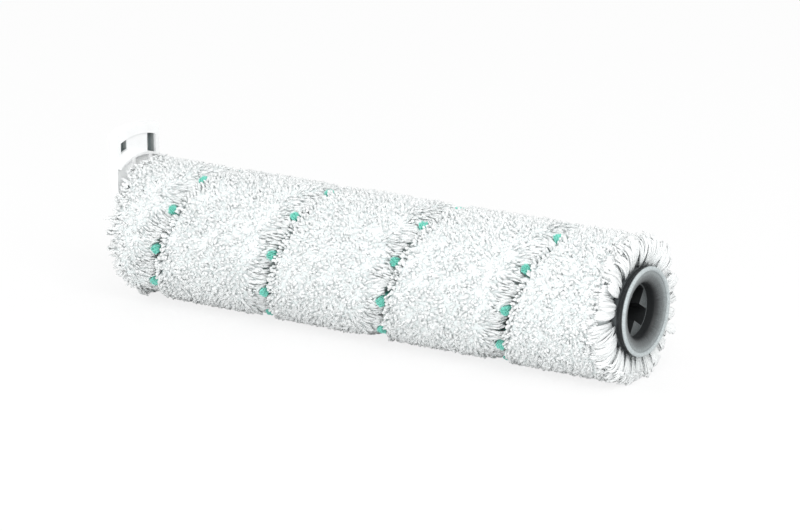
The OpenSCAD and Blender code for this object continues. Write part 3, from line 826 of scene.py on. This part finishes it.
class ROLL_OT_set_bristles(bpy.types.Operator):
    """Set the bristle tufts in the seam, each of many nylon bristles"""

    bl_idname = "roll.set_bristles"
    bl_label = "Set the bristles"

    def execute(self, context):
        roll, look = sizes(), context.scene.bristle_look
        rng = np.random.default_rng(SEED + 2)
        tuft_x, tuft_angle = tuft_places()
        tufts = len(tuft_x)
        number = np.tile(np.arange(look.count), tufts)
        each = np.repeat(np.arange(tufts), look.count)
        golden = math.pi * (3 - math.sqrt(5))
        reach = np.sqrt((number + 0.5) / look.count)
        turn = number * golden + rng.uniform(0, TURN, tufts)[each]
        hole = 1.6 * MM
        tip = look.tuft_width / 2 - look.width / 2
        t = np.array([0.0, 0.35, 0.97, 1.0])[None, :]
        spread = reach[:, None] * (hole + (tip - hole) * t ** 1.5)
        own = rng.normal(0, 0.12 * MM, (2, len(each)))
        height = roll.pile_radius - 1.2 * MM + rng.uniform(-0.35, 0.25, len(each)) * MM \
            - 0.35 * MM * reach ** 2
        base = roll.core_radius - 2 * MM
        radius = base + (height[:, None] - base) * t
        x = tuft_x[each][:, None] + spread * np.cos(turn)[:, None] + own[0][:, None] * t
        around = spread * np.sin(turn)[:, None] + own[1][:, None] * t
        spine = on_roll(x, tuft_angle[each][:, None] + around / radius, radius)
        width = np.full((len(each), 3), look.width / 2)
        side = np.tile([1.0, 0.0, 0.0], (len(each), 1))
        depth = np.broadcast_to(np.array([1.0, 0.75, 0.05, 0.0]), spine.shape[:2])
        piece = strand_mesh("bristles", spine, width, side, 1.0, depth)
        material = fibre_material("bristle nylon", tuple(look.tip_color), tuple(look.root_shade_color),
                                  ior=1.53)
        wear(piece, material, "roll")
        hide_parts("bristle_tufts")
        return {"FINISHED"}


class ROLL_OT_finish_moulded(bpy.types.Operator):
    """Finish the moulded plastic and rubber pieces"""

    bl_idname = "roll.finish_moulded"
    bl_label = "Finish plastic and rubber"

    def execute(self, context):
        dress(moulded_material("core plastic", (0.1, 0.11, 0.115, 1), 0.5), "core_tube")
        # The socket's second colour is painted shade for its collar's side, its bore and their recess.
        dress(socket_material("socket plastic", (0.3, 0.33, 0.335, 1), (0.02, 0.022, 0.023, 1)),
              "drive_socket")
        # The end cap's second colour is painted shade in the two pockets of its tab.
        dress(cap_material("cap plastic", (0.9, 0.91, 0.91, 1), (0.14, 0.17, 0.17, 1), 0.42),
              "end_cap")
        dress(moulded_material("housing plastic", (0.72, 0.74, 0.74, 1), 0.5),
              "bearing_housing", "spacer_bush")
        dress(moulded_material("cage nylon", (0.72, 0.64, 0.44, 1), 0.4), "bearing_cage")
        dress(rubber_material("seal rubber", (0.02, 0.021, 0.022, 1)), "tube_seal_rings",
              "dust_seal", "bearing_shield_outer", "bearing_shield_inner")
        return {"FINISHED"}


class ROLL_OT_finish_steel(bpy.types.Operator):
    """Finish the bearing, the axle and the other steel pieces"""

    bl_idname = "roll.finish_steel"
    bl_label = "Finish steel"

    def execute(self, context):
        dress(steel_material("turned steel", (0.6, 0.61, 0.62, 1), 0.3),
              "stub_axle", "thrust_washer", "tuft_anchors")
        dress(steel_material("bearing steel", (0.56, 0.57, 0.58, 1), 0.24),
              "bearing_outer_race", "bearing_inner_race")
        dress(steel_material("polished steel", (0.7, 0.71, 0.72, 1), 0.14), "bearing_balls")
        dress(steel_material("spring steel", (0.24, 0.25, 0.26, 1), 0.42),
              "bearing_circlip", "axle_clip")
        return {"FINISHED"}


class ROLL_OT_set_stage(bpy.types.Operator):
    """Set the pale floor, the soft light and the camera"""

    bl_idname = "roll.set_stage"
    bl_label = "Set the stage"

    def execute(self, context):
        look = context.scene.stage_look
        lay_floor(sizes().rest_height)
        light_world(look.sky_strength)
        hang_lamp("key", (0.62, -0.42, 0.72), 0.6, look.key_power)
        hang_lamp("fill", (0.1, -0.95, -0.01), 0.7, look.fill_power)
        place_camera(look.camera_place, look.camera_aim, look.focal_length)
        context.scene.view_settings.view_transform = "Standard"
        return {"FINISHED"}


def seen_rays(start):
    """1 for the rays by which the background is seen: straight, mirrored or through glass."""
    rays = start.node("ShaderNodeLightPath").output.node.outputs
    seen = [Socket(start.tree, rays[name]) for name in
            ("Is Camera Ray", "Is Glossy Ray", "Is Transmission Ray")]
    return start.math("MAXIMUM", start.math("MAXIMUM", seen[0], seen[1]), seen[2])


def lay_floor(height):
    """A wide pale floor at the height of the roll's flat, bright to the eye, with a soft shadow."""
    half = 30.0
    edge = np.array([-half, half])
    points = np.stack(np.broadcast_arrays(edge[:, None], edge[None, :], height), axis=-1)
    floor = grid_mesh("floor", points[:, ::-1], wrap=False)
    material, start = start_material("pale floor", base_color=(0.9, 0.9, 0.9, 1), roughness=0.9)
    tree = material.node_tree
    paint = Socket(tree, tree.nodes["Principled BSDF"].outputs[0])
    glow = start.node("ShaderNodeEmission", None, {"Color": (1, 1, 1, 1), "Strength": 1.0})
    floor_mix = start.node("ShaderNodeMixShader", None,
                           {0: seen_rays(start) * 0.82, 1: paint, 2: glow})
    tree.links.new(floor_mix.output, tree.nodes["Material Output"].inputs["Surface"])
    floor.data.materials.append(material)


def light_world(strength):
    """An even white sky of the given strength, seen as plain white."""
    world = bpy.data.worlds.new("soft sky")
    world.use_nodes = True
    bpy.context.scene.world = world
    start = Socket(world.node_tree)
    background = world.node_tree.nodes["Background"]
    background.inputs["Color"].default_value = (1, 1, 1, 1)
    level = seen_rays(start) * (1 - strength) + strength
    world.node_tree.links.new(level.output, background.inputs["Strength"])


def hang_lamp(name, place, size, power):
    """A square soft lamp that points at the middle of the roll."""
    lamp = bpy.data.lights.new(name, "AREA")
    lamp.shape = "SQUARE"
    lamp.size = size
    lamp.energy = power
    stand = bpy.data.objects.new(name, lamp)
    middle = (Vector(cad_box[0]) + Vector(cad_box[1])) / 2
    stand.location = middle + Vector(place)
    stand.rotation_euler = (middle - stand.location).to_track_quat("-Z", "Y").to_euler()
    bpy.context.scene.collection.objects.link(stand)


def place_camera(place, aim, focal_length):
    """A level camera at the photographer's place."""
    lens = bpy.data.cameras.new("camera")
    lens.lens = focal_length
    lens.sensor_width = 36
    lens.clip_start, lens.clip_end = 0.05, 100
    camera = bpy.data.objects.new("camera", lens)
    camera.location = place
    camera.rotation_euler = (Vector(aim) - Vector(place)).to_track_quat("-Z", "Y").to_euler()
    bpy.context.scene.collection.objects.link(camera)
    bpy.context.scene.camera = camera


OPERATORS = (ROLL_OT_set_stage, ROLL_OT_lay_backing, ROLL_OT_grow_pile, ROLL_OT_fan_ends,
             ROLL_OT_set_bristles, ROLL_OT_finish_moulded, ROLL_OT_finish_steel)
SETTINGS = {"roll_sizes": RollSizes, "pile_look": PileLook, "bristle_look": BristleLook,
            "stage_look": StageLook}


class VIEW3D_PT_brush_roll(bpy.types.Panel):
    """Sizes, looks and steps of the brush roll"""

    bl_label = "Brush roll"
    bl_space_type = "VIEW_3D"
    bl_region_type = "UI"
    bl_category = "Brush roll"

    def draw(self, context):
        for name, group in SETTINGS.items():
            box = self.layout.box()
            for setting in group.__annotations__:
                box.prop(getattr(context.scene, name), setting)
        for step in OPERATORS:
            self.layout.operator(step.bl_idname)


def register():
    for group in SETTINGS.values():
        bpy.utils.register_class(group)
    for name, group in SETTINGS.items():
        setattr(bpy.types.Scene, name, bpy.props.PointerProperty(type=group))
    for kind in (*OPERATORS, VIEW3D_PT_brush_roll):
        bpy.utils.register_class(kind)


def unregister():
    for kind in (VIEW3D_PT_brush_roll, *reversed(OPERATORS)):
        bpy.utils.unregister_class(kind)
    for name in SETTINGS:
        delattr(bpy.types.Scene, name)
    for group in SETTINGS.values():
        bpy.utils.unregister_class(group)


def main():
    register()
    for step in OPERATORS:
        category, name = step.bl_idname.split(".")
        getattr(getattr(bpy.ops, category), name)()


if __name__ == "__main__":
    main()
